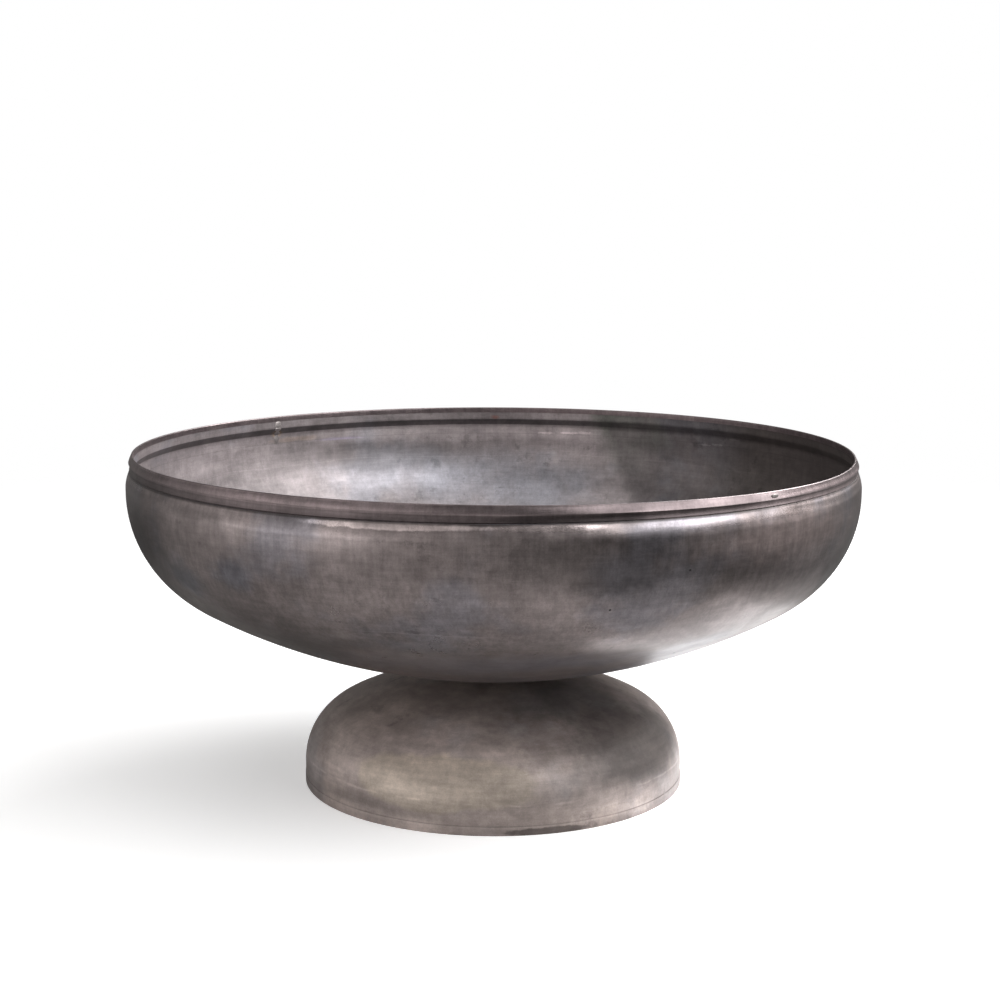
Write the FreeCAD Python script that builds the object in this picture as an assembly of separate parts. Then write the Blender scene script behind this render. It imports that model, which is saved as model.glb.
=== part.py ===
import FreeCAD, Part
import math
import os

# Steel fire pit with a lift-out log grate. Millimetres, +Z up, origin on the ground at the centre of
# the base. The pit is two dished tank heads: one opens upwards as the bowl, the other stands mouth
# down as the base. A short pipe ring between their crowns carries the bowl, and four bolts clamp it.

# Bowl: a dished head with a crown arc, a tighter knuckle arc and a short straight flange
BOWL_RADIUS = 381.0
BOWL_PLATE = 4.0
BOWL_KNUCKLE = 125.5
BOWL_CROWN = 636.0
BOWL_FLANGE = 5.0
DRAIN_RADIUS = 10.0

# Collar: a rolled ring butted on the bowl's flange, joggled inwards to a shoulder and a neck
COLLAR_PLATE = 4.0
SKIRT_HEIGHT = 9.2
SHOULDER_HEIGHT = 8.3
SHOULDER_STEP = 4.0
STEP_LAG = 1.6
CREASE_DEPTH = 1.2
CREASE_HEIGHT = 1.6
NECK_HEIGHT = 10.4
NECK_WAIST = 0.7

# Bead: a rounded bar on the top edge of the collar
BEAD_HEIGHT = 6.0
BEAD_PROUD = 0.5
BEAD_ROUND = 1.8

# Base: a smaller dished head, mouth down, on a flat hoop
BASE_RADIUS = 201.0
BASE_PLATE = 4.0
BASE_KNUCKLE = 67.8
BASE_CROWN = 375.8
BASE_FLANGE = 12.4
FOOT_HEIGHT = 9.3
FOOT_PROUD = 0.4

# Joint between the two crowns
CROWN_GAP = 3.0
PIPE_RADIUS = 44.5
PIPE_WALL = 8.0

# Fasteners: M10 mushroom-head bolts, plain washers and hexagon nuts
BOLT_COUNT = 4
BOLT_CIRCLE_RADIUS = 25.0
BOLT_RADIUS = 5.0
BOLT_HOLE_CLEARANCE = 0.5
BOLT_HEAD_RADIUS = 12.0
BOLT_HEAD_HEIGHT = 5.0
BOLT_TAIL = 4.0
WASHER_RADIUS = 10.0
WASHER_THICKNESS = 2.0
WASHER_CLEARANCE = 0.4
NUT_ACROSS_FLATS = 16.0
NUT_HEIGHT = 8.4

# Grate: a hoop filled with parallel bars, on two cross bars and four legs
GRATE_RADIUS = 241.0
HOOP_BAR_RADIUS = 6.0
BAR_COUNT = 9
BAR_RADIUS = 5.0
CROSS_BAR_RADIUS = 6.0
CROSS_BAR_OVERHANG = 3.0
WELD_SEAT = 1.0
LEG_RADIUS = 5.0
LEG_HEIGHT = 40.0
GRATE_CLEARANCE = 0.35

UP = FreeCAD.Vector(0, 0, 1)
ORIGIN = FreeCAD.Vector(0, 0, 0)


def dish_depth(radius, knuckle, crown):
    """Depth of a dished head from the start of its knuckle to its apex, on the outside."""
    return crown - math.sqrt((crown - knuckle) ** 2 - (radius - knuckle) ** 2)


def crown_sag(crown, distance):
    """How far a crown arc has curved away from its apex at a distance from the axis."""
    return crown - math.sqrt(crown**2 - distance**2)


BASE_TOP = FOOT_HEIGHT + BASE_FLANGE + dish_depth(BASE_RADIUS, BASE_KNUCKLE, BASE_CROWN)
BOWL_BOTTOM = BASE_TOP + CROWN_GAP
COLLAR_BOTTOM = BOWL_BOTTOM + dish_depth(BOWL_RADIUS, BOWL_KNUCKLE, BOWL_CROWN) + BOWL_FLANGE
SHOULDER_BOTTOM = COLLAR_BOTTOM + SKIRT_HEIGHT
NECK_BOTTOM = SHOULDER_BOTTOM + SHOULDER_HEIGHT
BEAD_BOTTOM = NECK_BOTTOM + NECK_HEIGHT
NECK_RADIUS = BOWL_RADIUS - SHOULDER_STEP


def at(radius, height):
    """A point of a revolved section."""
    return FreeCAD.Vector(radius, 0, height)


def around(centre, radius, angle):
    """A point on an arc about centre, at an angle from straight down towards the outside."""
    return centre + FreeCAD.Vector(radius * math.sin(angle), 0, -radius * math.cos(angle))


def line(start, end):
    return Part.LineSegment(start, end).toShape()


def arc(start, middle, end):
    return Part.Arc(start, middle, end).toShape()


def revolve(edges):
    """The solid swept by a closed section turned about the Z axis."""
    return Part.Face(Part.Wire(edges)).revolve(ORIGIN, UP, 360)


def tube(outer, inner, bottom, height):
    """A plain ring about the Z axis."""
    centre = FreeCAD.Vector(0, 0, bottom)
    return Part.makeCylinder(outer, height, centre).cut(Part.makeCylinder(inner, height, centre))


def dished_head(radius, plate, knuckle, crown, flange):
    """A head that opens upwards, with the outside of its apex at the origin."""
    depth = dish_depth(radius, knuckle, crown)
    turn = math.asin((radius - knuckle) / (crown - knuckle))
    half_knuckle = (turn + math.pi / 2) / 2
    crown_centre = at(0, crown)
    knuckle_centre = at(radius - knuckle, depth)
    inner_crown = crown - plate
    inner_knuckle = knuckle - plate
    outer_tangent = around(crown_centre, crown, turn)
    inner_tangent = around(crown_centre, inner_crown, turn)
    outer_side = at(radius, depth)
    inner_side = at(radius - plate, depth)
    outer_lip = at(radius, depth + flange)
    inner_lip = at(radius - plate, depth + flange)
    return revolve([
        arc(at(0, 0), around(crown_centre, crown, turn / 2), outer_tangent),
        arc(outer_tangent, around(knuckle_centre, knuckle, half_knuckle), outer_side),
        line(outer_side, outer_lip),
        line(outer_lip, inner_lip),
        line(inner_lip, inner_side),
        arc(inner_side, around(knuckle_centre, inner_knuckle, half_knuckle), inner_tangent),
        arc(inner_tangent, around(crown_centre, inner_crown, turn / 2), at(0, plate)),
        line(at(0, plate), at(0, 0)),
    ])


def bolt_places():
    """Bolt centres, evenly spaced and midway between the X and Y axes."""
    angles = [(i + 0.5) * 2 * math.pi / BOLT_COUNT for i in range(BOLT_COUNT)]
    return [(BOLT_CIRCLE_RADIUS * math.cos(a), BOLT_CIRCLE_RADIUS * math.sin(a)) for a in angles]


def crown_holes():
    """The drain and the bolt holes, as tools that pass through both crowns."""
    length = BOWL_BOTTOM + BOWL_CROWN
    drain = Part.makeCylinder(DRAIN_RADIUS, length)
    hole_radius = BOLT_RADIUS + BOLT_HOLE_CLEARANCE
    holes = [Part.makeCylinder(hole_radius, length, FreeCAD.Vector(x, y, 0)) for x, y in bolt_places()]
    return drain.fuse(holes)


def bowl_shell():
    head = dished_head(BOWL_RADIUS, BOWL_PLATE, BOWL_KNUCKLE, BOWL_CROWN, BOWL_FLANGE)
    head.translate(at(0, BOWL_BOTTOM))
    return head.cut(crown_holes())


def base_shell():
    head = dished_head(BASE_RADIUS, BASE_PLATE, BASE_KNUCKLE, BASE_CROWN, BASE_FLANGE)
    head.rotate(ORIGIN, FreeCAD.Vector(1, 0, 0), 180)
    head.translate(at(0, BASE_TOP))
    return head.cut(crown_holes())


def foot_ring():
    """The hoop under the base. Its outer top edge is rounded, and stands a little proud."""
    outer = BASE_RADIUS + FOOT_PROUD
    inner = BASE_RADIUS - BASE_PLATE
    bevel = math.sqrt(0.5) * FOOT_PROUD
    bend_foot = FOOT_HEIGHT - FOOT_PROUD
    bend_middle = at(BASE_RADIUS + bevel, bend_foot + bevel)
    return revolve([
        line(at(inner, 0), at(outer, 0)),
        line(at(outer, 0), at(outer, bend_foot)),
        arc(at(outer, bend_foot), bend_middle, at(BASE_RADIUS, FOOT_HEIGHT)),
        line(at(BASE_RADIUS, FOOT_HEIGHT), at(inner, FOOT_HEIGHT)),
        line(at(inner, FOOT_HEIGHT), at(inner, 0)),
    ])


def rim_collar():
    """Skirt, rounded shoulder, crease and waisted neck outside; a slanted step inside."""
    bend = (SHOULDER_STEP**2 + SHOULDER_HEIGHT**2) / (2 * SHOULDER_STEP)
    half_turn = math.asin(SHOULDER_HEIGHT / bend) / 2
    shoulder_middle = at(
        BOWL_RADIUS - bend + bend * math.cos(half_turn), SHOULDER_BOTTOM + bend * math.sin(half_turn)
    )
    skirt_inner = BOWL_RADIUS - COLLAR_PLATE
    neck_inner = NECK_RADIUS - COLLAR_PLATE
    crease = at(NECK_RADIUS - CREASE_DEPTH, NECK_BOTTOM + CREASE_HEIGHT / 2)
    neck_foot = at(NECK_RADIUS, NECK_BOTTOM + CREASE_HEIGHT)
    neck_middle = at(NECK_RADIUS - NECK_WAIST, (NECK_BOTTOM + CREASE_HEIGHT + BEAD_BOTTOM) / 2)
    return revolve([
        line(at(skirt_inner, COLLAR_BOTTOM), at(BOWL_RADIUS, COLLAR_BOTTOM)),
        line(at(BOWL_RADIUS, COLLAR_BOTTOM), at(BOWL_RADIUS, SHOULDER_BOTTOM)),
        arc(at(BOWL_RADIUS, SHOULDER_BOTTOM), shoulder_middle, at(NECK_RADIUS, NECK_BOTTOM)),
        line(at(NECK_RADIUS, NECK_BOTTOM), crease),
        line(crease, neck_foot),
        arc(neck_foot, neck_middle, at(NECK_RADIUS, BEAD_BOTTOM)),
        line(at(NECK_RADIUS, BEAD_BOTTOM), at(neck_inner, BEAD_BOTTOM)),
        line(at(neck_inner, BEAD_BOTTOM), at(neck_inner, NECK_BOTTOM + STEP_LAG)),
        line(at(neck_inner, NECK_BOTTOM + STEP_LAG), at(skirt_inner, SHOULDER_BOTTOM + STEP_LAG)),
        line(at(skirt_inner, SHOULDER_BOTTOM + STEP_LAG), at(skirt_inner, COLLAR_BOTTOM)),
    ])


def rim_bead():
    """A bar with a flat underside and two rounded top corners, a little wider than the neck."""
    outer = NECK_RADIUS + BEAD_PROUD
    inner = NECK_RADIUS - COLLAR_PLATE - BEAD_PROUD
    top = BEAD_BOTTOM + BEAD_HEIGHT
    bevel = BEAD_ROUND * (1 - math.sqrt(0.5))
    return revolve([
        line(at(inner, BEAD_BOTTOM), at(outer, BEAD_BOTTOM)),
        line(at(outer, BEAD_BOTTOM), at(outer, top - BEAD_ROUND)),
        arc(at(outer, top - BEAD_ROUND), at(outer - bevel, top - bevel), at(outer - BEAD_ROUND, top)),
        line(at(outer - BEAD_ROUND, top), at(inner + BEAD_ROUND, top)),
        arc(at(inner + BEAD_ROUND, top), at(inner + bevel, top - bevel), at(inner, top - BEAD_ROUND)),
        line(at(inner, top - BEAD_ROUND), at(inner, BEAD_BOTTOM)),
    ])


def pedestal_ring(bowl_dish, base_dish):
    """A slice of pipe whose ends are cut to the crowns that they seat on."""
    pipe = tube(PIPE_RADIUS, PIPE_RADIUS - PIPE_WALL, 0, BOWL_BOTTOM + BOWL_CROWN)
    return keep_lowest(pipe.cut(base_dish).cut(bowl_dish), BASE_TOP - crown_sag(BASE_CROWN, PIPE_RADIUS))


def keep_lowest(pieces, floor):
    """The lowest of a cut's solids whose middle is above a floor."""
    above = [s for s in pieces.Solids if s.BoundBox.Center.z > floor]
    return min(above, key=lambda s: s.BoundBox.Center.z)


def bolt_levels():
    """Heights of the faces that each bolt clamps: under its head, and above its washer."""
    head_reach = BOLT_CIRCLE_RADIUS + BOLT_HEAD_RADIUS
    washer_reach = BOLT_CIRCLE_RADIUS + WASHER_RADIUS
    under_head = BOWL_BOTTOM + BOWL_PLATE + crown_sag(BOWL_CROWN - BOWL_PLATE, head_reach)
    above_washer = BASE_TOP - BASE_PLATE - crown_sag(BASE_CROWN - BASE_PLATE, washer_reach)
    return under_head, above_washer


def pedestal_bolt(x, y):
    """A mushroom head on a plain shank."""
    under_head, above_washer = bolt_levels()
    tail = above_washer - WASHER_THICKNESS - NUT_HEIGHT - BOLT_TAIL
    dome = (BOLT_HEAD_RADIUS**2 + BOLT_HEAD_HEIGHT**2) / (2 * BOLT_HEAD_HEIGHT)
    half_turn = math.asin(BOLT_HEAD_RADIUS / dome) / 2
    crest = under_head + BOLT_HEAD_HEIGHT
    dome_middle = at(dome * math.sin(half_turn), crest - dome + dome * math.cos(half_turn))
    bolt = revolve([
        line(at(0, tail), at(BOLT_RADIUS, tail)),
        line(at(BOLT_RADIUS, tail), at(BOLT_RADIUS, under_head)),
        line(at(BOLT_RADIUS, under_head), at(BOLT_HEAD_RADIUS, under_head)),
        arc(at(BOLT_HEAD_RADIUS, under_head), dome_middle, at(0, crest)),
        line(at(0, crest), at(0, tail)),
    ])
    bolt.translate(FreeCAD.Vector(x, y, 0))
    return bolt


def pedestal_washer(x, y):
    above_washer = bolt_levels()[1]
    bottom = above_washer - WASHER_THICKNESS
    washer = tube(WASHER_RADIUS, BOLT_RADIUS + WASHER_CLEARANCE, bottom, WASHER_THICKNESS)
    washer.translate(FreeCAD.Vector(x, y, 0))
    return washer


def pedestal_nut(x, y):
    """A hexagon nut with two of its flats square to the Y axis, threaded tight on the shank."""
    bottom = FreeCAD.Vector(x, y, bolt_levels()[1] - WASHER_THICKNESS - NUT_HEIGHT)
    corner_radius = NUT_ACROSS_FLATS / 2 / math.cos(math.pi / 6)
    turns = [i * math.pi / 3 for i in range(6)]
    corners = [bottom + FreeCAD.Vector(math.cos(a), math.sin(a), 0) * corner_radius for a in turns]
    hexagon = Part.Face(Part.makePolygon(corners + corners[:1]))
    bore = Part.makeCylinder(BOLT_RADIUS, NUT_HEIGHT, bottom)
    return hexagon.extrude(UP * NUT_HEIGHT).cut(bore)


HOOP_CENTRE_RADIUS = GRATE_RADIUS - HOOP_BAR_RADIUS
BAR_PITCH = 2 * (HOOP_CENTRE_RADIUS - HOOP_BAR_RADIUS) / (BAR_COUNT + 1)
END_BAR_X = BAR_PITCH * (BAR_COUNT - 1) / 2
CROSS_BAR_Y = HOOP_CENTRE_RADIUS / 2
LEG_DISTANCE = math.hypot(END_BAR_X, CROSS_BAR_Y)
LEG_FOOT = BOWL_BOTTOM + BOWL_PLATE + crown_sag(BOWL_CROWN - BOWL_PLATE, LEG_DISTANCE) + GRATE_CLEARANCE
CROSS_BAR_HEIGHT = LEG_FOOT + LEG_HEIGHT + CROSS_BAR_RADIUS
GRATE_HEIGHT = CROSS_BAR_HEIGHT + CROSS_BAR_RADIUS + BAR_RADIUS - WELD_SEAT


def grate_ring():
    return Part.makeTorus(HOOP_CENTRE_RADIUS, HOOP_BAR_RADIUS, FreeCAD.Vector(0, 0, GRATE_HEIGHT))


def grate_bar(x, ring):
    """A bar along Y whose ends are cut to fit the hoop."""
    reach = math.sqrt(HOOP_CENTRE_RADIUS**2 - x**2)
    start = FreeCAD.Vector(x, -reach, GRATE_HEIGHT)
    return Part.makeCylinder(BAR_RADIUS, 2 * reach, start, FreeCAD.Vector(0, 1, 0)).cut(ring)


def grate_cross_bar(y, bars):
    """A bar along X under the grate, notched where the bars are welded into it."""
    reach = END_BAR_X + LEG_RADIUS + CROSS_BAR_OVERHANG
    start = FreeCAD.Vector(-reach, y, CROSS_BAR_HEIGHT)
    return Part.makeCylinder(CROSS_BAR_RADIUS, 2 * reach, start, FreeCAD.Vector(1, 0, 0)).cut(bars)


def grate_leg(x, y, cross_bar, bowl_dish):
    """A leg from a cross bar down to the bowl, its foot cut to the bowl's slope."""
    height = CROSS_BAR_HEIGHT - BOWL_BOTTOM
    rod = Part.makeCylinder(LEG_RADIUS, height, FreeCAD.Vector(x, y, BOWL_BOTTOM))
    floor = bowl_dish.copy()
    floor.translate(FreeCAD.Vector(0, 0, GRATE_CLEARANCE))
    pieces = rod.cut(cross_bar).cut(floor)
    return max(pieces.Solids, key=lambda s: s.BoundBox.Center.z)


def all_parts():
    """Every sub-part by name."""
    bowl_dish = dished_head(BOWL_RADIUS, BOWL_PLATE, BOWL_KNUCKLE, BOWL_CROWN, BOWL_FLANGE)
    bowl_dish.translate(at(0, BOWL_BOTTOM))
    base_dish = base_shell()
    parts = {
        "bowl_shell": bowl_shell(),
        "rim_collar": rim_collar(),
        "rim_bead": rim_bead(),
        "base_shell": base_dish,
        "foot_ring": foot_ring(),
        "pedestal_ring": pedestal_ring(bowl_dish, base_dish),
        "pedestal_bolts": Part.makeCompound([pedestal_bolt(x, y) for x, y in bolt_places()]),
        "pedestal_washers": Part.makeCompound([pedestal_washer(x, y) for x, y in bolt_places()]),
        "pedestal_nuts": Part.makeCompound([pedestal_nut(x, y) for x, y in bolt_places()]),
        "grate_ring": grate_ring(),
    }
    bars = [grate_bar(i * BAR_PITCH - END_BAR_X, parts["grate_ring"]) for i in range(BAR_COUNT)]
    parts.update({f"grate_bar_{i + 1}": bar for i, bar in enumerate(bars)})
    for end, y in (("front", -CROSS_BAR_Y), ("rear", CROSS_BAR_Y)):
        cross_bar = grate_cross_bar(y, bars)
        parts[f"grate_cross_bar_{end}"] = cross_bar
        for side, x in (("left", -END_BAR_X), ("right", END_BAR_X)):
            parts[f"grate_leg_{end}_{side}"] = grate_leg(x, y, cross_bar, bowl_dish)
    return parts


os.makedirs("parts", exist_ok=True)
for name, shape in all_parts().items():
    shape.exportStep(f"parts/{name}.step")
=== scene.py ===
import math

import bmesh
import bpy
from mathutils import Matrix, Vector, noise


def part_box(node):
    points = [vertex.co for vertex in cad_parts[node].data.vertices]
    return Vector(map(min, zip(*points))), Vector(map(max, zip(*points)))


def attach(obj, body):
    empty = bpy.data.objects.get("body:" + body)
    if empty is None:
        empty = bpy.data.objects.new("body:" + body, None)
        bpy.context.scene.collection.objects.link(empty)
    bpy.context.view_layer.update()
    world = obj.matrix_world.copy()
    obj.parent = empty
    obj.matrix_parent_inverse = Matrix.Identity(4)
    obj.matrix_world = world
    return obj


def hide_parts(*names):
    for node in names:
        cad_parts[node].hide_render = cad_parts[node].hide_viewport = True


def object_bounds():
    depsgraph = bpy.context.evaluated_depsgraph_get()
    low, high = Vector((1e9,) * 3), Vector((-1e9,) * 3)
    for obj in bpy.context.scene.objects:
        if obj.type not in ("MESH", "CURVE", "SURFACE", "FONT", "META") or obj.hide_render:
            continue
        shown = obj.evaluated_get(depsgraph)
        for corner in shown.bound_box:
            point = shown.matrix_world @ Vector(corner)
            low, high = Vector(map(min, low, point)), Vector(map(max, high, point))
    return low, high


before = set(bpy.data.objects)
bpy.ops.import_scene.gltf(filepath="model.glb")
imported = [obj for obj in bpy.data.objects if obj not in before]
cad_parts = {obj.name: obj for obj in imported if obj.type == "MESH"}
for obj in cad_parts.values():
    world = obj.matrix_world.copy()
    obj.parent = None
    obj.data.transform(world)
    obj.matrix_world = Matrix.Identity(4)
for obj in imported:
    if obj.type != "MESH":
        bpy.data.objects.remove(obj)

# Raw-steel fire pit. Metres, +Z up, origin on the ground at the centre of the base, as in the CAD.
# The bowl, collar, bead, base and foot are turned again here with finer, slightly uneven surfaces.
# The pipe ring, the fasteners and the grate are the CAD nodes, with procedural steel and weld beads.

CAD_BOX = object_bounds()
scene = bpy.context.scene

BOWL_LOW, BOWL_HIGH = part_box("bowl_shell")
COLLAR_LOW, COLLAR_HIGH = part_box("rim_collar")
BEAD_LOW, BEAD_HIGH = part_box("rim_bead")
BASE_LOW, BASE_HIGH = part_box("base_shell")
FOOT_LOW, FOOT_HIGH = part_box("foot_ring")
WASHER_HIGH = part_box("pedestal_washers")[1]

# Sizes of the turned sections that the nodes' boxes don't give
PLATE = 0.004
BOWL_RADIUS = BOWL_HIGH.x
BOWL_KNUCKLE = 0.1255
BOWL_CROWN = 0.636
BOWL_FLANGE = 0.005
BASE_RADIUS = BASE_HIGH.x
BASE_KNUCKLE = 0.0678
BASE_CROWN = 0.3758
BASE_FLANGE = 0.0124
DRAIN_RADIUS = 0.010
SKIRT_HEIGHT = 0.0092
SHOULDER_HEIGHT = 0.0083
SHOULDER_STEP = 0.004
SHOULDER_LEAD = 0.0085
SHOULDER_ROLL = 0.15
STEP_LAG = 0.0016
NECK_HEIGHT = 0.0104
CREASE_DEPTH = 0.0008
CREASE_HEIGHT = 0.0016
NECK_WAIST = 0.0007
BEAD_LIP = 0.0016
BEAD_LEAN = 0.0027
BEAD_ROUND = 0.0010
BEAD_SWELL = 0.0002
RIM_RISE = 0.0010
RIM_DIP = 0.0030
FOOT_PROUD = 0.0004
BOLT_HOLE_RADIUS = 0.0055
WASHER_RADIUS = 0.010
NECK_RADIUS = BOWL_RADIUS - SHOULDER_STEP

# Welds: angles in degrees from +X, then (width, height, ripple) of each bead
SEAM_ANGLE = 134.0
TACK_ANGLE = -47.4
FOOT_SEAM_ANGLE = -28.5
FOOT_SEAM_LOW = 0.0008
FOOT_SEAM_HIGH = 0.0195
TACK_STEP = 0.16
TACK_SINK = 0.0002
TACK_DROP = 0.0005
SEAM_BEAD = (0.0080, 0.0004, 0.3)
TACK_BEAD = (0.0038, 0.0009, 0.15)
FOOT_BEAD = (0.0022, 0.0004, 0.35)
HOOP_BEAD = (0.0034, 0.0016, 0.22)
CROSS_BEAD = (0.0036, 0.0016, 0.22)
LEG_BEAD = (0.0034, 0.0015, 0.22)
BEAD_SIDES = 8

# Grate welds: how far a bead's middle stands off each bar, and how far round a bar it goes in degrees
BAR_COUNT = 9
BAR_LIFT = 0.0006
HOOP_LIFT = 0.0004
LEG_LIFT = 0.0004
WRAP_START = -20
WRAP_TURN = 220
WRAP_STEPS = 14
CROSSING_OFFSET = 0.0042
CROSSING_STEP = 0.001
LEG_STEPS = 24
LEG_LEAN = 0.003

TURN_STEPS = 360
DRILL_STEPS = 32
DRILL_DEPTH = 0.06
SHARP_ANGLE = math.radians(28)


# ---------------------------------------------------------------- sections

def dish_depth(radius, knuckle, crown):
    """Depth of a dished head from the start of its knuckle to its apex, on the outside."""
    return crown - math.sqrt((crown - knuckle) ** 2 - (radius - knuckle) ** 2)


def arc(centre, radius, start, end, steps):
    """Points (radius, height) along an arc; angles are from straight down towards the outside."""
    r, z = centre
    angles = [start + (end - start) * i / steps for i in range(steps + 1)]
    return [(r + radius * math.sin(a), z - radius * math.cos(a)) for a in angles]


def run(start, end, steps, hollow=0.0):
    """Points from start to end of a section, without the first, drawn in by the hollow between them."""
    (r0, z0), (r1, z1) = start, end
    points = []
    for i in range(1, steps + 1):
        share = i / steps
        dip = hollow * math.sin(math.pi * share)
        points.append((r0 + (r1 - r0) * share - dip, z0 + (z1 - z0) * share))
    return points


def head_section(radius, knuckle, crown, flange):
    """Closed section of a drained dished head that opens upwards, with its apex at height 0."""
    depth = dish_depth(radius, knuckle, crown)
    turn = math.asin((radius - knuckle) / (crown - knuckle))
    inner_crown = crown - PLATE
    points = arc((0, crown), crown, math.asin(DRAIN_RADIUS / crown), turn, 60)
    points += arc((radius - knuckle, depth), knuckle, turn, math.pi / 2, 40)[1:]
    points += run((radius, depth), (radius, depth + flange), 2)
    points += run((radius, depth + flange), (radius - PLATE, depth + flange), 2)
    points += run((radius - PLATE, depth + flange), (radius - PLATE, depth), 2)
    points += arc((radius - knuckle, depth), knuckle - PLATE, math.pi / 2, turn, 40)[1:]
    points += arc((0, crown), inner_crown, turn, math.asin(DRAIN_RADIUS / inner_crown), 60)[1:]
    return points


def bowl_section():
    """The bowl's head, standing on its apex."""
    section = head_section(BOWL_RADIUS, BOWL_KNUCKLE, BOWL_CROWN, BOWL_FLANGE)
    return [(r, BOWL_LOW.z + z) for r, z in section]


def base_section():
    """The base's head, mouth down."""
    section = head_section(BASE_RADIUS, BASE_KNUCKLE, BASE_CROWN, BASE_FLANGE)
    apex = BASE_LOW.z + BASE_FLANGE + dish_depth(BASE_RADIUS, BASE_KNUCKLE, BASE_CROWN)
    return [(r, apex - z) for r, z in section]


def collar_section():
    """Skirt, rounded shoulder, crease and waisted neck outside; a slanted step inside."""
    bottom, top = COLLAR_LOW.z, COLLAR_HIGH.z
    shoulder = bottom + SKIRT_HEIGHT
    neck = shoulder + SHOULDER_HEIGHT
    neck_foot = neck + CREASE_HEIGHT
    curve_foot = shoulder - SHOULDER_LEAD
    skirt_inner = BOWL_RADIUS - PLATE
    neck_inner = NECK_RADIUS - PLATE
    points = run((skirt_inner, bottom), (BOWL_RADIUS, bottom), 2)
    points += run((BOWL_RADIUS, bottom), (BOWL_RADIUS, curve_foot), 2)
    for i in range(1, 17):
        share = i / 16
        inset = SHOULDER_STEP * ((1 + SHOULDER_ROLL) * share**2 - SHOULDER_ROLL * share**4)
        points.append((BOWL_RADIUS - inset, curve_foot + (neck - curve_foot) * share))
    points += run((NECK_RADIUS, neck), (NECK_RADIUS, neck_foot), 6, CREASE_DEPTH)
    points += run((NECK_RADIUS, neck_foot), (NECK_RADIUS, top), 8, NECK_WAIST)
    points += run((NECK_RADIUS, top), (neck_inner, top), 2)
    points += run((neck_inner, top), (neck_inner, neck + STEP_LAG), 4)
    points += run((neck_inner, neck + STEP_LAG), (skirt_inner, shoulder + STEP_LAG), 5)
    points += run((skirt_inner, shoulder + STEP_LAG), (skirt_inner, bottom), 4)
    return points


def bead_section():
    """A bar with an outside face that leans inwards, hangs over the neck and is rounded at the top."""
    bottom, top = BEAD_LOW.z, BEAD_HIGH.z
    outer = BEAD_HIGH.x
    inner = outer - PLATE - 2 * (outer - NECK_RADIUS)
    lean_top = (outer - BEAD_LEAN, top - BEAD_ROUND)
    half_width = (lean_top[0] - inner) / 2
    points = run((inner, bottom), (NECK_RADIUS, bottom), 2)
    points += run((NECK_RADIUS, bottom), (NECK_RADIUS, bottom - BEAD_LIP), 2)
    points += run((NECK_RADIUS, bottom - BEAD_LIP), (outer, bottom - BEAD_LIP), 1)
    points += run((outer, bottom - BEAD_LIP), lean_top, 8, -BEAD_SWELL)
    for i in range(1, 13):
        turn = math.pi * i / 12
        across = inner + half_width * (1 + math.cos(turn))
        points.append((across, lean_top[1] + BEAD_ROUND * math.sin(turn)))
    points += run((inner, lean_top[1]), (inner, bottom), 2)
    return points


def foot_section():
    """A flat hoop whose rounded top edge stands a little proud of the base."""
    bottom, top = FOOT_LOW.z, FOOT_HIGH.z
    outer, inner = BASE_RADIUS + FOOT_PROUD, BASE_RADIUS - PLATE
    points = run((inner, bottom), (outer, bottom), 2)
    points += run((outer, bottom), (outer, top - FOOT_PROUD), 4)
    points += arc((BASE_RADIUS, top - FOOT_PROUD), FOOT_PROUD, math.pi / 2, math.pi, 3)[1:]
    points += run((BASE_RADIUS, top), (inner, top), 2)
    points += run((inner, top), (inner, bottom), 4)
    return points


# ---------------------------------------------------------------- meshes

def unevenness(point):
    """How far hand-finished plate stands off its true surface at a point, outwards."""
    reach = min(1.0, math.hypot(point.x, point.y) / 0.3)
    broad = noise.noise(point * 5 + Vector((3.1, 0.7, 1.9)))
    fine = noise.noise(point * 22 + Vector((8.3, 2.2, 5.4)))
    return reach * (0.0005 * broad + 0.00012 * fine)


def rim_settling(point):
    """How far the rim above the crease stands off its true height, from how its bar was welded."""
    angle = math.degrees(math.atan2(point.y, point.x))
    dip = RIM_DIP * math.exp(-((angle + 32) / 34) ** 2)
    rise = RIM_RISE * math.exp(-((angle + 125) / 34) ** 2)
    neck = BEAD_LOW.z - NECK_HEIGHT
    share = min(1.0, max(0.0, (point.z - neck) / NECK_HEIGHT))
    return share * (rise - dip)


def shaped(name, bm):
    """A named object from a bmesh, smooth apart from its sharp edges."""
    bmesh.ops.recalc_face_normals(bm, faces=bm.faces)
    for face in bm.faces:
        face.smooth = True
    for edge in bm.edges:
        edge.smooth = edge.calc_face_angle(0) < SHARP_ANGLE
    mesh = bpy.data.meshes.new(name)
    bm.to_mesh(mesh)
    bm.free()
    piece = bpy.data.objects.new(name, mesh)
    scene.collection.objects.link(piece)
    return piece


def turned(name, section):
    """A closed section turned about the Z axis."""
    bm = bmesh.new()
    rings = []
    for i in range(TURN_STEPS):
        angle = 2 * math.pi * i / TURN_STEPS
        across = Vector((math.cos(angle), math.sin(angle), 0))
        ring = []
        for radius, height in section:
            point = across * radius + Vector((0, 0, height))
            point.z += rim_settling(point)
            ring.append(bm.verts.new(point + across * unevenness(point)))
        rings.append(ring)
    for ring, after in zip(rings, rings[1:] + rings[:1]):
        for j in range(len(section)):
            k = (j + 1) % len(section)
            bm.faces.new((ring[j], after[j], after[k], ring[k]))
    return shaped(name, bm)


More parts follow.
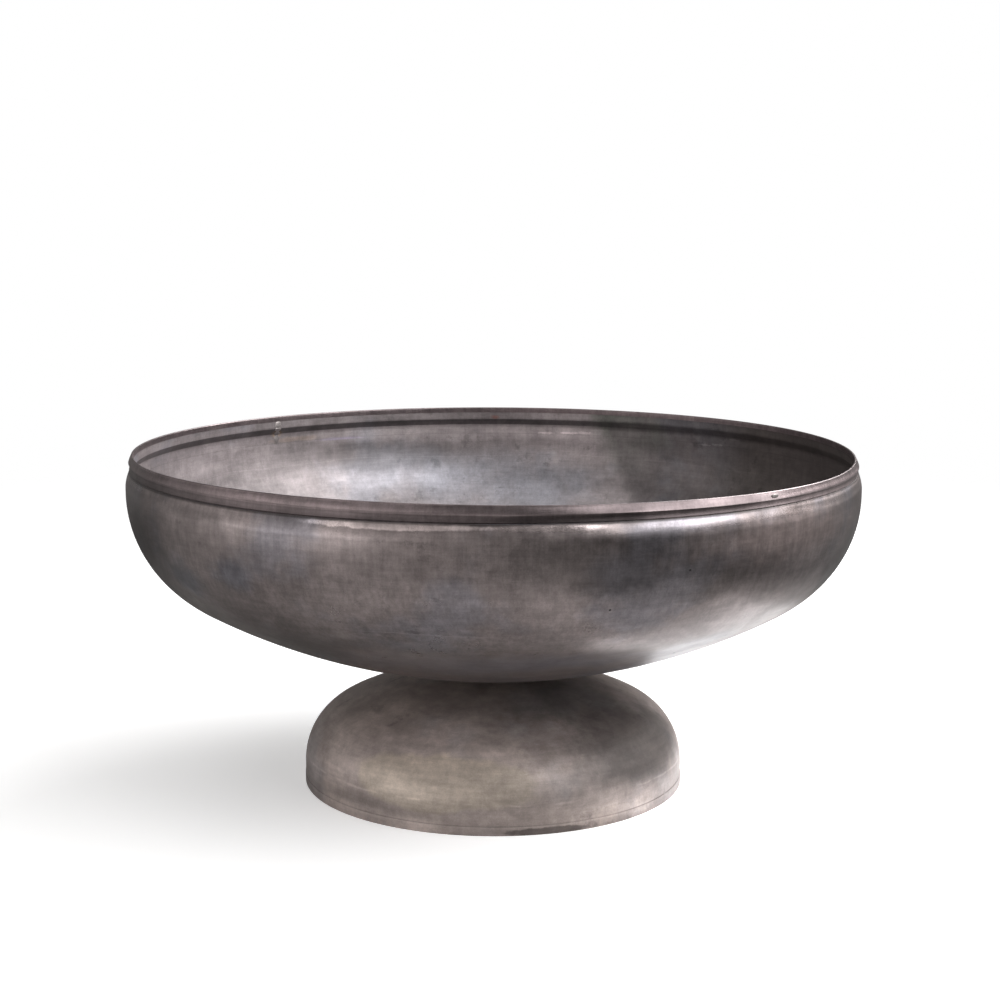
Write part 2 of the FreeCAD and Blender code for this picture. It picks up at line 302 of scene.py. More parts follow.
def drilled(piece):
    """The piece with the four bolt holes cut through its crown."""
    offset = WASHER_HIGH.x - WASHER_RADIUS
    bm = bmesh.new()
    for x in (-offset, offset):
        for y in (-offset, offset):
            place = Matrix.Translation((x, y, BOWL_LOW.z))
            bmesh.ops.create_cone(
                bm, cap_ends=True, segments=DRILL_STEPS, radius1=BOLT_HOLE_RADIUS,
                radius2=BOLT_HOLE_RADIUS, depth=DRILL_DEPTH, matrix=place,
            )
    drills = shaped("drills", bm)
    cut = piece.modifiers.new("bolt_holes", "BOOLEAN")
    cut.operation = "DIFFERENCE"
    cut.object = drills
    bpy.context.view_layer.update()
    graph = bpy.context.evaluated_depsgraph_get()
    result = bpy.data.meshes.new_from_object(piece.evaluated_get(graph))
    piece.modifiers.clear()
    piece.data = result
    bpy.data.objects.remove(drills)
    return piece


# ---------------------------------------------------------------- materials

class Nodes:
    """Short calls for building one material's node tree."""

    def __init__(self, name):
        self.material = bpy.data.materials.new(name)
        self.material.use_nodes = True
        self.tree = self.material.node_tree
        self.shader = self.tree.nodes["Principled BSDF"]
        self.place = self.tree.nodes.new("ShaderNodeTexCoord").outputs["Object"]

    def add(self, kind, **settings):
        node = self.tree.nodes.new(kind)
        for key, value in settings.items():
            setattr(node, key, value)
        return node

    def feed(self, socket, value):
        if isinstance(value, bpy.types.NodeSocket):
            self.tree.links.new(value, socket)
        else:
            socket.default_value = value

    def noise(self, scale, stretch=(1, 1, 1), shift=(0, 0, 0), detail=4, rough=0.55, warp=0.0):
        mapping = self.add("ShaderNodeMapping")
        self.feed(mapping.inputs["Vector"], self.place)
        mapping.inputs["Scale"].default_value = stretch
        mapping.inputs["Location"].default_value = shift
        node = self.add("ShaderNodeTexNoise")
        self.feed(node.inputs["Vector"], mapping.outputs["Vector"])
        node.inputs["Scale"].default_value = scale
        node.inputs["Detail"].default_value = detail
        node.inputs["Roughness"].default_value = rough
        node.inputs["Distortion"].default_value = warp
        return node.outputs["Fac"]

    def range(self, value, low, high, to_low=0.0, to_high=1.0):
        """Value from low..high to to_low..to_high, smoothly and held at the ends."""
        node = self.add("ShaderNodeMapRange", interpolation_type="SMOOTHSTEP")
        for name, number in (("Value", value), ("From Min", low), ("From Max", high),
                             ("To Min", to_low), ("To Max", to_high)):
            self.feed(node.inputs[name], number)
        return node.outputs["Result"]

    def maths(self, operation, a, b=0.0):
        node = self.add("ShaderNodeMath", operation=operation)
        self.feed(node.inputs[0], a)
        self.feed(node.inputs[1], b)
        return node.outputs[0]

    def times(self, *values):
        product = values[0]
        for value in values[1:]:
            product = self.maths("MULTIPLY", product, value)
        return product

    def mix(self, share, a, b):
        """Colour a turning to colour b by a share."""
        node = self.add("ShaderNodeMix", data_type="RGBA")
        self.feed(node.inputs["Factor"], share)
        self.feed(node.inputs["A"], a)
        self.feed(node.inputs["B"], b)
        return node.outputs["Result"]

    def along(self, axis):
        """The place along an axis, "X", "Y" or "Z"."""
        node = self.add("ShaderNodeSeparateXYZ")
        self.feed(node.inputs[0], self.place)
        return node.outputs[axis]

    def height(self):
        return self.along("Z")

    def patch(self, centre, reach, ragged=0.0, grain=30, full=0.25):
        """1 round a point out to the full share of the reach along each axis, then falling to 0."""
        offset = self.add("ShaderNodeVectorMath", operation="SUBTRACT")
        self.feed(offset.inputs[0], self.place)
        offset.inputs[1].default_value = centre
        scaled = self.add("ShaderNodeVectorMath", operation="DIVIDE")
        self.feed(scaled.inputs[0], offset.outputs[0])
        scaled.inputs[1].default_value = reach
        length = self.add("ShaderNodeVectorMath", operation="LENGTH")
        self.feed(length.inputs[0], scaled.outputs[0])
        distance = length.outputs["Value"]
        if ragged:
            blur = self.noise(grain, shift=centre, detail=5, rough=0.65)
            edge = self.maths("MULTIPLY", self.maths("SUBTRACT", blur, 0.5), 2 * ragged)
            distance = self.maths("ADD", distance, edge)
        return self.range(distance, 1.0, full)

    def band(self, low, high, blur, level=None):
        """1 between two heights, or between two values of another number."""
        if level is None:
            level = self.height()
        above = self.range(level, low - blur, low + blur)
        return self.times(above, self.range(level, high + blur, high - blur))

    def bump(self, height, depth, strength=1.0, under=None):
        node = self.add("ShaderNodeBump")
        node.inputs["Strength"].default_value = strength
        node.inputs["Distance"].default_value = depth
        self.feed(node.inputs["Height"], height)
        if under is not None:
            self.feed(node.inputs["Normal"], under)
        return node.outputs["Normal"]

    def finish(self, colour, roughness, normal, metallic=1.0):
        inputs = self.shader.inputs
        self.feed(inputs["Base Color"], colour)
        self.feed(inputs["Roughness"], roughness)
        self.feed(inputs["Normal"], normal)
        inputs["Metallic"].default_value = metallic
        return self.material


def tint(level, red=1.0, blue=1.0):
    """A linear colour of a level, with its red and blue as shares of its green."""
    return (level * red, level, level * blue, 1)


def steel(n, dark, light, cool, rough, seed, streaks=1.0, marks=(), wear=(), stains=(),
          metallic=0.9):
    """Hot-rolled plate: mottled mill scale, fine upright streaks, bluish areas, marks and worn places, with
    painted light and shade among the marks and the wear.

    A mark is (mask, brightness, roughness change), often a painted highlight or painted shade; wear is
    masks of bare, brighter metal that are partly painted highlight; and a stain is (mask, colour)."""
    shift = (seed, seed * 0.37, seed * 0.71)
    clouds = n.noise(7, shift=shift, detail=5, warp=0.3)
    blotch = n.noise(19, stretch=(1, 1, 1.5), shift=shift, detail=6, rough=0.6, warp=0.4)
    mottle = n.noise(70, shift=shift, detail=8, rough=0.72)
    grain = n.noise(800, shift=shift, detail=2)
    streak = n.noise(230, stretch=(1, 1, 0.09), shift=shift, detail=5, rough=0.70)
    wipe = n.noise(230, stretch=(0.08, 0.08, 1.0), shift=shift, detail=5, rough=0.70)
    soot = n.times(n.range(n.noise(48, shift=shift, detail=7, rough=0.66), 0.56, 0.68),
                   n.range(n.noise(6, shift=shift, detail=2), 0.45, 0.62))
    blue = n.range(n.noise(9, shift=(seed + 4, 1, 2), detail=4), 0.50, 0.64)
    tone = n.mix(n.range(clouds, 0.34, 0.66), dark, light)
    tone = n.mix(n.maths("MULTIPLY", blue, 0.7), tone, cool)
    for mask, colour in stains:
        tone = n.mix(mask, tone, colour)
    shade = n.times(
        n.range(blotch, 0.34, 0.66, 0.88, 1.11),
        n.range(mottle, 0.32, 0.68, 0.86, 1.14),
        n.range(streak, 0.35, 0.65, 1 - 0.09 * streaks, 1 + 0.09 * streaks),
        n.range(wipe, 0.35, 0.65, 0.93, 1.07),
        n.range(grain, 0.3, 0.7, 0.94, 1.06),
        n.range(soot, 0, 1, 1.0, 0.74),
    )
    roughness = n.maths("ADD", n.range(mottle, 0.3, 0.7, rough - 0.03, rough + 0.04),
                        n.range(blotch, 0.34, 0.66, 0.04, -0.03))
    for mask, brightness, change in marks:
        shade = n.maths("MULTIPLY", shade, n.range(mask, 0, 1, 1.0, brightness))
        roughness = n.maths("ADD", roughness, n.maths("MULTIPLY", mask, change))
    for mask in wear:
        shade = n.maths("MULTIPLY", shade, n.range(mask, 0, 1, 1.0, 1.35))
        roughness = n.maths("SUBTRACT", roughness, n.maths("MULTIPLY", mask, 0.05))
    scaled = n.add("ShaderNodeVectorMath", operation="SCALE")
    n.feed(scaled.inputs[0], tone)
    n.feed(scaled.inputs["Scale"], shade)
    normal = n.bump(clouds, 0.002, 0.12)
    normal = n.bump(mottle, 0.0003, 0.25, normal)
    normal = n.bump(streak, 0.0001, 0.2 * streaks, normal)
    normal = n.bump(wipe, 0.0001, 0.2, normal)
    normal = n.bump(grain, 0.0001, 0.2, normal)
    return n.finish(scaled.outputs[0], roughness, normal, metallic)


def bowl_outside():
    # The outside steel carries painted highlights and painted shade as well as mill scale, stains and wear.
    n = Nodes("bowl_mill_scale_and_painted_light")
    # Painted highlights along the rounded shoulder at the front left, front and right, and painted shade
    # just under it at the left and at the crease.
    shoulder_painted_light_and_shade = [
        (n.patch((-0.090, -0.368, 0.3365), (0.11, 0.06, 0.0045), 0.5, 60, full=0.5), 2.9, -0.04),
        (n.patch((-0.105, -0.365, 0.3300), (0.10, 0.06, 0.0100), 0.5, 60), 1.35, -0.02),
        (n.patch((0.055, -0.375, 0.3365), (0.070, 0.03, 0.0050), full=0.3), 2.2, -0.10),
        (n.patch((0.22, -0.30, 0.3345), (0.26, 0.26, 0.0075), full=0.5), 1.05, -0.11),
        (n.patch((0.34, -0.18, 0.335), (0.12, 0.22, 0.0090), full=0.5), 1.6, 0.0),
        (n.patch((0.28, -0.26, 0.3285), (0.10, 0.12, 0.0080), 0.3, 60), 1.50, 0.0),
        (n.patch((-0.275, -0.265, 0.3290), (0.06, 0.08, 0.0080), 0.3, 60), 0.74, 0.0),
        (n.patch((0.17, -0.34, 0.3355), (0.08, 0.06, 0.0045), 0.2, 60), 1.55, -0.04),
        (n.patch((0.115, -0.363, 0.3405), (0.07, 0.05, 0.0030)), 0.78, 0.0),
    ]
    # Painted shade on the neck under the bead, darkest at the front, and a painted highlight on its right
    # side.
    neck_painted_shade_and_light = [
        (n.band(0.3380, 0.3470, 0.0012), 0.46, 0.04),
        (n.patch((0.08, -0.371, 0.3435), (0.10, 0.04, 0.0060), full=0.6), 0.50, 0.0),
        (n.patch((0.34, -0.20, 0.343), (0.16, 0.22, 0.0090), full=0.6), 2.2, -0.03),
    ]
    # Painted highlights on the bead at the right and the left, and painted shade on it at the front.
    bead_painted_light_and_shade = [
        (n.patch((0.34, -0.20, 0.3535), (0.16, 0.20, 0.0080), full=0.6), 1.30, -0.05),
        (n.patch((0.06, -0.37, 0.3535), (0.16, 0.10, 0.0080), full=0.5), 0.66, 0.0),
        (n.patch((-0.13, -0.34, 0.3520), (0.14, 0.12, 0.0045), 0.3, 40, full=0.6), 1.35, 0.0),
    ]
    # Painted shade on the wall at the left and the front middle, and painted light on it at the front
    # right.
    wall_painted_light_and_shade = [
        (n.patch((-0.34, -0.17, 0.27), (0.10, 0.14, 0.08), 0.5), 0.70, 0.03),
        (n.patch((-0.37, -0.10, 0.28), (0.08, 0.20, 0.09), 0.3), 0.62, 0.0),
        (n.patch((0.09, -0.36, 0.305), (0.15, 0.09, 0.048), 0.4), 0.52, 0.02),
        (n.patch((0.27, -0.25, 0.312), (0.13, 0.16, 0.026), 0.5, 60), 1.20, 0.05),
        (n.patch((0.29, -0.245, 0.288), (0.05, 0.06, 0.018), 0.3), 1.32, 0.0),
    ]
    # Painted shade low on the wall at the front right and the right edge, and painted light low at the
    # front left and middle.
    belly_painted_light_and_shade = [
        (n.patch((0.17, -0.33, 0.277), (0.13, 0.13, 0.028), 0.35), 0.66, 0.0),
        (n.patch((0.37, -0.12, 0.250), (0.10, 0.20, 0.06), 0.3), 0.60, 0.0),
        (n.patch((-0.06, -0.34, 0.245), (0.24, 0.14, 0.06), 0.5), 1.28, -0.02),
        (n.patch((0.10, -0.32, 0.222), (0.05, 0.05, 0.014), 0.3), 1.18, 0.0),
    ]
    pits = [
        (n.patch(spot, (0.0018, 0.0018, 0.0018)), 0.2, 0.2)
        for spot in ((0.1707, -0.2323, 0.1920), (0.1025, -0.3529, 0.2603), (0.1732, -0.3365, 0.2928))
    ]
    wander = n.maths("MULTIPLY", n.noise(18, detail=4), 0.006)
    line = n.band(0.2386, 0.2390, 0.0004, n.maths("ADD", n.height(), wander))
    scratch = (n.times(line, n.patch((-0.06, -0.335, 0.237), (0.10, 0.08, 0.03))), 1.5, 0.05)
    # Lighter, smoother lines along the bead's crest and the shoulder all round: partly edge wear, partly
    # painted highlight.
    crest_wear_and_sheen = n.times(n.band(0.3548, 0.3600, 0.0006), n.range(n.noise(14, detail=3), 0.42, 0.62))
    shoulder = n.times(n.band(0.3335, 0.3385, 0.0020), n.range(n.noise(14, detail=4), 0.40, 0.66))
    warm_wall = n.patch((0.27, -0.25, 0.310), (0.14, 0.16, 0.028), 0.7, 50)
    warm_rim = n.band(0.3394, 0.3600, 0.0005)
    cool_left = n.patch((-0.289, -0.228, 0.262), (0.045, 0.045, 0.026), 0.9, 24)
    cool_front = n.patch((-0.232, -0.294, 0.278), (0.035, 0.045, 0.022), 0.9, 24)
    cool_belly = n.patch((0.0, -0.30, 0.195), (0.16, 0.08, 0.025), 0.5)
    stains = [
        (warm_wall, tint(0.155, 1.22, 0.97)),
        (warm_rim, tint(0.155, 1.22, 1.02)),
        (cool_left, tint(0.13, 1.04, 1.12)),
        (cool_front, tint(0.14, 1.04, 1.12)),
        (cool_belly, tint(0.15, 1.02, 1.18)),
    ]
    return steel(
        n, tint(0.125, 1.17, 0.99), tint(0.185, 1.16, 0.99), tint(0.15, 1.04, 1.12), rough=0.33, seed=1.0,
        marks=shoulder_painted_light_and_shade + neck_painted_shade_and_light + bead_painted_light_and_shade + wall_painted_light_and_shade + belly_painted_light_and_shade + pits + [scratch],
        wear=(crest_wear_and_sheen, shoulder), stains=stains,
    )


def bowl_inside():
    # The inside steel carries painted light and painted shade as well as mill scale, stains and spatter.
    n = Nodes("bowl_inside_scale_and_painted_light")
    across = n.along("X")
    drop = n.maths("SUBTRACT", 0.32, n.height())
    lean = n.maths("SUBTRACT", across, n.maths("MULTIPLY", drop, 0.45))
    ragged = n.maths("MULTIPLY", n.maths("SUBTRACT", n.noise(9, detail=4), 0.5), 0.03)
    shade_side = n.range(n.maths("ADD", lean, ragged), 0.115, 0.155)
    # Painted shade over the far right inside the bowl, with a darker, warmer tint, on top of the painted
    # shade of the right side.
    far_side_painted_shade = n.range(n.maths("ADD", across, ragged), 0.24, 0.31)
    # Painted shade in the slanted step under the collar, darkest at the left and middle, fading towards the
    # right.
    step_painted_shade = n.times(n.band(0.3342, 0.3410, 0.0006), n.range(across, 0.20, 0.03, 0.35, 1.0))
    wander = n.maths("ADD", n.height(), n.maths("MULTIPLY", n.noise(9), 0.012))
    lines = [
        (step_painted_shade, 0.34, 0.05),
        (n.band(0.3225, 0.3232, 0.0005), 0.84, 0.0),
        (n.band(0.3010, 0.3016, 0.0006, wander), 1.18, 0.0),
    ]
    broad_marks = [
        (shade_side, 0.52, 0.05),
        (far_side_painted_shade, 0.78, 0.0),
        (n.patch((0.0, 0.0, 0.14), (0.20, 0.20, 0.06), 0.4, 14), 0.72, 0.12),
    ]
    # Painted light on the inside wall high at the back and the left and at the back right, and painted
    # shade lower down at the back and the left.
    wall_painted_light_and_shade = [
        (n.patch((-0.12, 0.33, 0.298), (0.15, 0.12, 0.030), 0.3, 14), 0.66, 0.0),
        (n.patch((-0.25, 0.20, 0.25), (0.17, 0.17, 0.055), 0.3, 14), 0.58, 0.0),
        (n.patch((-0.08, 0.37, 0.325), (0.30, 0.14, 0.018), 0.4, 20), 1.55, 0.0),
        (n.patch((-0.30, 0.18, 0.31), (0.12, 0.16, 0.035), 0.4, 20), 1.35, 0.0),
        (n.patch((-0.325, 0.185, 0.291), (0.07, 0.08, 0.018), 0.3, 20), 0.74, 0.0),
        (n.patch((-0.12, 0.335, 0.250), (0.09, 0.06, 0.018), 0.3, 20), 0.80, 0.0),
        (n.patch((0.06, 0.365, 0.293), (0.08, 0.06, 0.018), 0.3, 20), 1.20, 0.0),
        (n.patch((0.25, 0.27, 0.270), (0.10, 0.09, 0.022), 0.3, 20), 1.20, 0.0),
    ]
    spatter = [
        (n.patch(spot, (0.014, 0.014, 0.0021), 1.1, 150), 1.55, -0.03)
        for spot in (
            (0.2826, 0.2492, 0.3318), (0.2529, 0.2793, 0.3217), (0.2659, 0.2670, 0.3234),
            (0.0637, 0.3714, 0.3239), (0.1108, 0.3601, 0.3255), (0.090, 0.366, 0.3246),
        )
    ]
    shade_tint = n.times(shade_side, n.range(n.noise(6, detail=3), 0.40, 0.6))
    rust_dot = n.patch((0.0, 0.373, 0.3435), (0.006, 0.01, 0.004), 0.6, 160)
    rust_by_seam = n.patch((-0.262, 0.271, 0.335), (0.009, 0.009, 0.006), 0.8, 120)
    rust_streak = n.patch((-0.24, 0.29, 0.326), (0.05, 0.04, 0.004), 0.9, 60)
    cool_streak = n.patch((-0.19, 0.325, 0.322), (0.05, 0.03, 0.0025), 0.5, 60)
    cool_field = n.patch((-0.02, 0.33, 0.27), (0.20, 0.10, 0.05), 0.5, 14)
    stains = [
        (shade_tint, tint(0.25, 0.98, 0.90)),
        (far_side_painted_shade, tint(0.20, 1.16, 0.95)),
        (rust_dot, tint(0.16, 1.7, 0.9)),
        (rust_by_seam, tint(0.34, 1.35, 0.7)),
        (rust_streak, tint(0.26, 1.22, 0.92)),
        (cool_streak, tint(0.27, 1.14, 1.22)),
        (cool_field, tint(0.27, 1.02, 1.10)),
    ]
    return steel(
        n, tint(0.215, 1.13, 1.01), tint(0.29, 1.13, 1.01), tint(0.25, 1.02, 1.10), rough=0.38, seed=5.0,
        streaks=0.6, marks=lines + broad_marks + wall_painted_light_and_shade + spatter, stains=stains, metallic=0.6,
    )


def base_outside():
    # The base's steel carries painted light and painted shade as well as mill scale, stains and wear.
    n = Nodes("base_mill_scale_and_painted_light")
    wander = n.maths("MULTIPLY", n.noise(14, detail=5), 0.010)
    tide = n.band(0.0355, 0.0375, 0.0012, n.maths("ADD", n.height(), wander))
    bare = n.patch((-0.050, -0.175, 0.046), (0.105, 0.10, 0.030), 0.35, 22, full=0.80)
    # Painted light and shade make up most of these marks: lighter low at the left and front, painted shade
    # on the right side, and a painted shadow of the bowl across the upper right. The bare patch, the ground
    # strip at the lower right, the oily patch, the tide line and the hem line are the steel's own.
    marks = [
        (bare, 1.08, 0.0),
        (n.patch((-0.12, -0.16, 0.006), (0.13, 0.13, 0.014), 0.3, 30), 1.45, 0.0),
        (n.patch((-0.09, -0.15, 0.070), (0.16, 0.13, 0.060), 0.3, 22), 1.45, 0.0),
        (n.patch((0.04, -0.19, 0.040), (0.10, 0.08, 0.030), 0.3, 22), 0.85, 0.0),
        (n.patch((0.150, -0.110, 0.064), (0.13, 0.15, 0.054), 0.3, 20), 0.32, 0.06),
        (n.patch((0.11, -0.08, 0.105), (0.14, 0.15, 0.030), 0.3, 20), 0.36, 0.05),
        (n.patch((-0.05, -0.17, 0.082), (0.13, 0.10, 0.03), 0.3, 20), 1.25, 0.0),
        (n.patch((0.125, -0.155, 0.010), (0.07, 0.09, 0.013), 0.8, 120), 1.35, 0.05),
        (n.patch((0.11, -0.16, 0.036), (0.09, 0.09, 0.028), 0.3, 20), 0.82, 0.0),
        (n.patch((-0.175, -0.09, 0.030), (0.07, 0.10, 0.030), 0.3, 20), 1.25, 0.0),
        (n.patch((-0.03, -0.197, 0.040), (0.06, 0.05, 0.012), 0.3, 20), 1.18, 0.0),
        (n.patch((0.055, -0.20, 0.003), (0.055, 0.05, 0.005), 0.5, 90, full=0.6), 0.42, -0.10),
        (n.times(tide, n.range(n.noise(26, detail=3), 0.4, 0.6)), 1.35, 0.0),
        (n.band(0.0088, 0.0098, 0.0004), 0.72, 0.05),
    ]
    stains = [(bare, tint(0.29, 1.17, 0.86))]
    return steel(
        n, tint(0.25, 1.18, 0.95), tint(0.33, 1.18, 0.93), tint(0.28, 1.10, 1.0), rough=0.48, seed=9.0,
        streaks=0.3, marks=marks, stains=stains, metallic=0.4,
    )


def plain_steel(name, level, rough, seed):
    """Steel without marks, for the smaller pieces."""
    n = Nodes(name)
    return steel(n, tint(level, 1.1, 0.98), tint(1.5 * level, 1.1, 0.98), tint(1.2 * level, 1.0, 1.1),
                 rough, seed, streaks=0.2)


# ---------------------------------------------------------------- pieces

def dressed(piece, materials, body):
    """The piece with its materials, riding on a body. A second material goes on the faces inside."""
    piece.data.materials.clear()
    for material in materials:
        piece.data.materials.append(material)
    if len(materials) > 1:
        for face in piece.data.polygons:
            outward = Vector((face.center.x, face.center.y, 0)).normalized()
            face.material_index = int(face.normal.dot(outward) < face.normal.z)
    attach(piece, body)
    return piece


def turn_pit():
    """The turned pieces, each in place of its CAD node."""
    outside, inside = bowl_outside(), bowl_inside()
    base = base_outside()
    for name, section, materials, slot, node in (
        ("bowl_plate", bowl_section(), (outside, inside), "bowl_steel", "bowl_shell"),
        ("collar_plate", collar_section(), (outside, inside), "bowl_steel", "rim_collar"),
        ("bead_bar", bead_section(), (outside,), "bowl_steel", "rim_bead"),
        ("base_plate", base_section(), (base,), "base_steel", "base_shell"),
        ("foot_hoop", foot_section(), (base,), "base_steel", "foot_ring"),
    ):
        piece = turned(name, section)
        if node in ("bowl_shell", "base_shell"):
            drilled(piece)
        dressed(piece, materials, "pit")
        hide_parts(node)


def paint_nodes():
    """Steel for the CAD nodes that stay."""
    grate = plain_steel("grate_mill_scale", 0.085, 0.5, 13.0)
    pipe = plain_steel("pipe_mill_scale", 0.12, 0.5, 15.0)
    bolts = plain_steel("fastener_finish", 0.16, 0.42, 17.0)
    for name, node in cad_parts.items():
        if name.startswith("grate"):
            node.material_slots[0].material = grate
        elif name == "pedestal_ring":
            node.material_slots[0].material = pipe
        elif name.startswith("pedestal"):
            node.material_slots[0].material = bolts


def weld_bead(bm, path, outwards, bead):
    """A rippled bead of weld along a path of points, flattened onto the surface that faces outwards."""
    width, height, ripple = bead
    rings = []
    for i, point in enumerate(path):
        ahead = path[min(i + 1, len(path) - 1)] - path[max(i - 1, 0)]
        along = ahead.normalized()
        out = outwards[i].normalized()
        side = along.cross(out)
        taper = min(1.0, 0.25 + 0.5 * min(i, len(path) - 1 - i))
        swell = taper * (1 + ripple * math.sin(i * 2.1) + ripple * noise.noise(point * 300))
        ring = []
        for j in range(BEAD_SIDES):
            turn = 2 * math.pi * j / BEAD_SIDES
            across = side * (width / 2 * swell * math.cos(turn))
            ring.append(bm.verts.new(point + across + out * (height * swell * math.sin(turn))))
        rings.append(ring)
    for ring, after in zip(rings, rings[1:]):
        for j in range(BEAD_SIDES):
            k = (j + 1) % BEAD_SIDES
            bm.faces.new((ring[j], ring[k], after[k], after[j]))
    bm.faces.new(rings[0][::-1])
    bm.faces.new(rings[-1])


def around_axis(radius, angle, height):
    """A point at a radius and angle (degrees from +X) about the Z axis."""
    a = math.radians(angle)
    return Vector((radius * math.cos(a), radius * math.sin(a), height))


def steps(start, end, count):
    """Evenly spaced points from start to end."""
    return [start + (end - start) * i / count for i in range(count + 1)]


def collar_seam():
    """The butt weld of the rolled collar, ground down inside the rim."""
    bm = bmesh.new()
    step = COLLAR_LOW.z + SKIRT_HEIGHT + SHOULDER_HEIGHT + STEP_LAG
    neck_inner, skirt_inner = NECK_RADIUS - PLATE, BOWL_RADIUS - PLATE
    rim = around_axis(neck_inner, SEAM_ANGLE, BEAD_LOW.z)
    step_top = around_axis(neck_inner, SEAM_ANGLE, step)
    step_foot = around_axis(skirt_inner, SEAM_ANGLE, step - SHOULDER_HEIGHT)
    skirt_foot = around_axis(skirt_inner, SEAM_ANGLE, COLLAR_LOW.z)
    path = steps(rim, step_top, 6) + steps(step_top, step_foot, 5)[1:] + steps(step_foot, skirt_foot, 5)[1:]
    weld_bead(bm, path, [around_axis(-1, SEAM_ANGLE, 0)] * len(path), SEAM_BEAD)
    return shaped("collar_seam_weld", bm)


def rim_tack():
    """A small blob of weld on the neck, under the bead."""
    bm = bmesh.new()
    radius, height = NECK_RADIUS - TACK_SINK, BEAD_LOW.z - TACK_DROP
    path = [around_axis(radius, TACK_ANGLE + TACK_STEP * i, height) for i in range(-4, 5)]
    weld_bead(bm, path, [around_axis(1, TACK_ANGLE, 0)] * len(path), TACK_BEAD)
    return shaped("rim_tack_weld", bm)


def foot_seam():
    """The closing weld of the hoop under the base, run up onto the base."""
    bm = bmesh.new()
    path = steps(around_axis(BASE_RADIUS + FOOT_PROUD, FOOT_SEAM_ANGLE, FOOT_SEAM_LOW),
                 around_axis(BASE_RADIUS, FOOT_SEAM_ANGLE, FOOT_SEAM_HIGH), 14)
    weld_bead(bm, path, [around_axis(1, FOOT_SEAM_ANGLE, 0)] * len(path), FOOT_BEAD)
    return shaped("foot_seam_weld", bm)


def bar_across(name):
    """The middle of an upright or Y-wise round bar across X, and its radius."""
    low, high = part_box(name)
    return (low.x + high.x) / 2, (high.x - low.x) / 2


def hoop_welds(bm):
    """A bead round each end of each bar, where it meets the hoop."""
    low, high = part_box("grate_ring")
    hoop_bar = (high.z - low.z) / 2
    hoop = high.x - hoop_bar
    middle = (high.z + low.z) / 2
    for i in range(1, BAR_COUNT + 1):
        x, bar = bar_across(f"grate_bar_{i}")
        for end in (-1, 1):
            path = []
            for j in range(WRAP_STEPS + 1):
                turn = math.radians(WRAP_START + WRAP_TURN * j / WRAP_STEPS)
                side = x + (bar + BAR_LIFT) * math.cos(turn)
                up = (bar + BAR_LIFT) * math.sin(turn)
                reach = hoop - math.sqrt(max(0, (hoop_bar + HOOP_LIFT) ** 2 - up**2))
                path.append(Vector((side, end * math.sqrt(reach**2 - side**2), middle + up)))
            out = [Vector((p.x - x, -end * 0.8 * bar, p.z - middle)) for p in path]
            weld_bead(bm, path, out, HOOP_BEAD)


def crossing_welds(bm, y, height):
    """A bead on each side of each bar, where it lies on a cross bar."""
    for i in range(1, BAR_COUNT + 1):
        x = bar_across(f"grate_bar_{i}")[0]
        for side in (-1, 1):
            across = x + side * CROSSING_OFFSET
            path = [Vector((across, y + CROSSING_STEP * j, height)) for j in range(-4, 5)]
            weld_bead(bm, path, [Vector((side, 0, 0.9))] * len(path), CROSS_BEAD)


def leg_weld(bm, leg, y, cross_middle, cross_radius):
    """A bead round the top of a leg, where it meets a cross bar."""
    x, radius = bar_across(leg)
    path = []
    for j in range(LEG_STEPS + 1):
        turn = 2 * math.pi * j / LEG_STEPS
        sink = math.sqrt(cross_radius**2 - (radius * math.sin(turn)) ** 2)
        across = (radius + LEG_LIFT) * math.cos(turn)
        along = (radius + LEG_LIFT) * math.sin(turn)
        path.append(Vector((x + across, y + along, cross_middle - sink - LEG_LIFT)))
    out = [Vector((p.x - x, p.y - y, -LEG_LEAN)) for p in path]
    weld_bead(bm, path, out, LEG_BEAD)


def grate_welds():
    """Beads where the bars meet the hoop and the cross bars, and round the top of each leg."""
    bm = bmesh.new()
    hoop_welds(bm)
    for cross in ("front", "rear"):
        low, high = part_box(f"grate_cross_bar_{cross}")
        y = (low.y + high.y) / 2
        crossing_welds(bm, y, high.z - BAR_LIFT)
        for side in ("left", "right"):
            leg_weld(bm, f"grate_leg_{cross}_{side}", y, (low.z + high.z) / 2, (high.z - low.z) / 2)
    return shaped("grate_weld_beads", bm)


def add_welds():
    seam = plain_steel("ground_weld", 0.22, 0.42, 23.0)
    bead = plain_steel("weld_bead_steel", 0.13, 0.42, 27.0)
    tack = plain_steel("tack_weld_steel", 0.20, 0.42, 31.0)
    for piece, material, body, slot in (
        (collar_seam(), seam, "pit", "bowl_steel"),
        (rim_tack(), tack, "pit", "bowl_steel"),
        (foot_seam(), seam, "pit", "base_steel"),
        (grate_welds(), bead, "grate", "grate_steel"),
    ):
        dressed(piece, (material,), body)


turn_pit()
paint_nodes()
add_welds()


# ---------------------------------------------------------------- stage

FLOOR_SIZE = 12
FLOOR_FADE_START = 1.0
FLOOR_FADE_END = 2.4
FLOOR_GLOW = 0.42
FLOOR_LIT = (0.56, 0.55, 0.54, 1)
FLOOR_DIM = (0.10, 0.10, 0.10, 1)
CARD_PLACE = (0.305, 0.0, 0.002)
CARD_SIZE = (0.33, 0.50)
CARD_GLOW = 0.9
ROOM_COLOUR = (1.0, 0.97, 0.95, 1)
ROOM_LEVEL = 0.20
ROOM_GLOWS = (
    # azimuth, elevation, spread in degrees, level
    (-30, -8, 52, 1.0),
    (-78, -8, 50, 0.95),
    (98, 0, 46, 0.50),
)
CAMERA_PLACE = (0.0064, -1.9213, 0.6134)
CAMERA_PITCH = math.radians(9.284)
CAMERA_ROLL = math.radians(0.2059)
CAMERA_LENS = 66.35
CAMERA_SENSOR = 36


